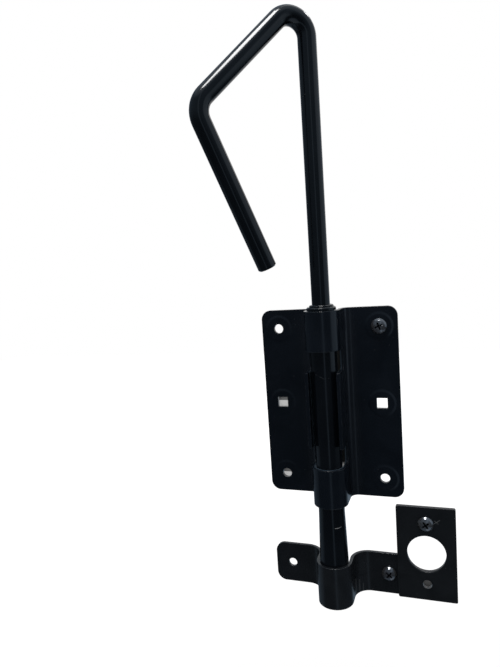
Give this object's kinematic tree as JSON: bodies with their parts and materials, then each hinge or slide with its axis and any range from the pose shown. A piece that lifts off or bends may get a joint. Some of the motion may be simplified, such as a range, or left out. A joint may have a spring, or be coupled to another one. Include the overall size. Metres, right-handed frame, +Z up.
{
  "type": "ground bolt",
  "caption": "Sliding ground bolt with a bent-rod handle in a pressed guide plate, with its strap keeper and flat strike plate for the ground.",
  "frame": {"origin": "centre of the guide plate's hole pattern, midway between its two square holes, on the plane of the mounting faces", "axes": "+Z up along the bolt, -Y out of the door towards the user, +X to the right seen from the front; the mounting faces lie in the plane Y = 0"},
  "size_m": [0.1499, 0.0914, 0.415],
  "materials": {
    "plate_coat": "gloss black powder coat",
    "bolt_coat": "gloss black powder coat",
    "keeper_coat": "gloss black powder coat",
    "strike_coat": "semi-gloss black powder coat",
    "screw_black": "black zinc plating"
  },
  "bodies": {
    "mounted": {"guide_plate": "plate_coat", "keeper_strap": "keeper_coat", "strike_plate": "strike_coat", "fixing_screws": "screw_black"},
    "bolt": {"bolt_bar": "bolt_coat", "stop_ring": "bolt_coat", "handle_weld": "bolt_coat", "handle_rod": "bolt_coat"}
  },
  "joints": [
    {"name": "bolt_lift", "type": "slide", "parent": "mounted", "child": "bolt", "axis": [0, 0, 1], "range_m": [0, 0.022]}
  ]
}
